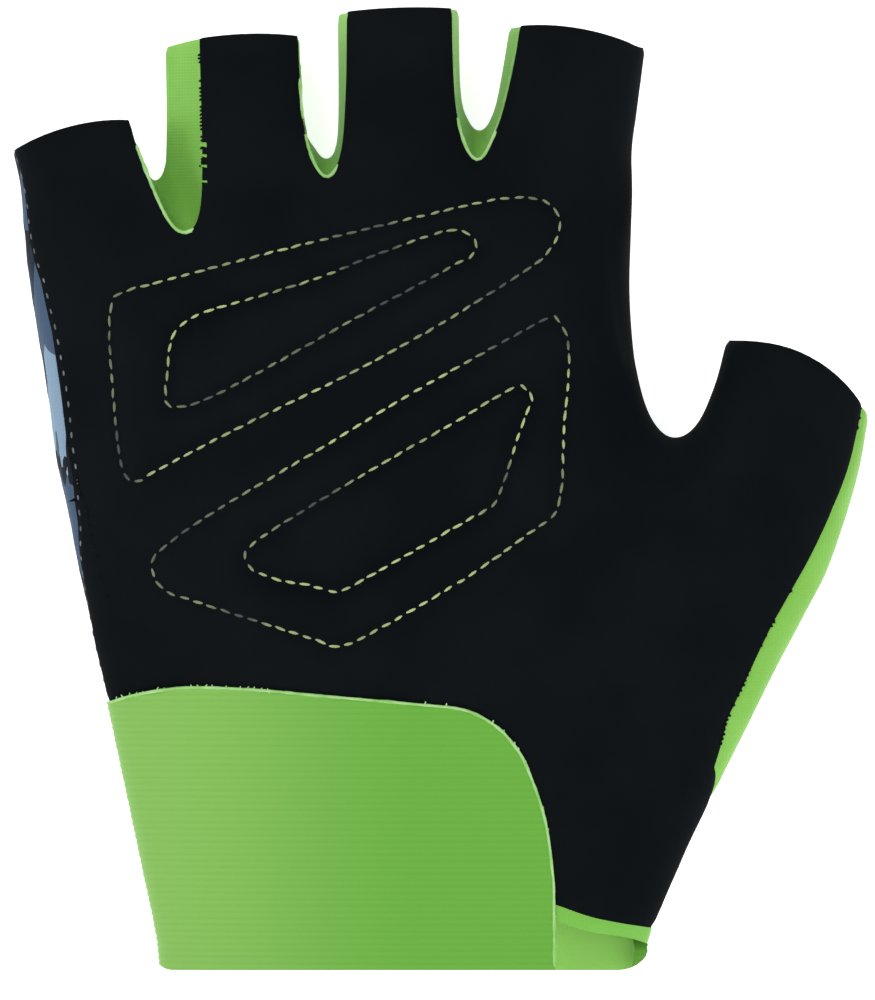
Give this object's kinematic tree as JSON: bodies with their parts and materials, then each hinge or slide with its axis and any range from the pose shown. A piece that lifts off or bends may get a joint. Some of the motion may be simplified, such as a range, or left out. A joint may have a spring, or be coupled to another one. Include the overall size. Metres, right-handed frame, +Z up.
{
  "type": "fingerless cycling glove",
  "caption": "Right-hand fingerless cycling glove lying palm up: suede palm with quilted pads, stretch back and finger sides, ribbed elastic wrist band.",
  "frame": {"origin": "on the surface that the glove lies on, under the middle of its outline", "axes": "+Y from the cuff to the finger ends, +X towards the thumb, +Z up out of the palm"},
  "size_m": [0.1384, 0.1548, 0.0262],
  "materials": {
    "suede": "matte black synthetic suede",
    "print": "printed stretch knit, dark navy with pale shards",
    "stretch": "bright green stretch knit",
    "elastic": "bright green ribbed elastic",
    "tape": "bright green binding tape"
  },
  "bodies": {
    "root": {"palm_panel": "suede", "back_panel": "print", "thumb_back": "stretch", "fourchette_little_ring": "stretch", "fourchette_ring_middle": "stretch", "fourchette_middle_index": "stretch", "cuff_band": "elastic", "palm_hem": "tape"}
  },
  "joints": []
}
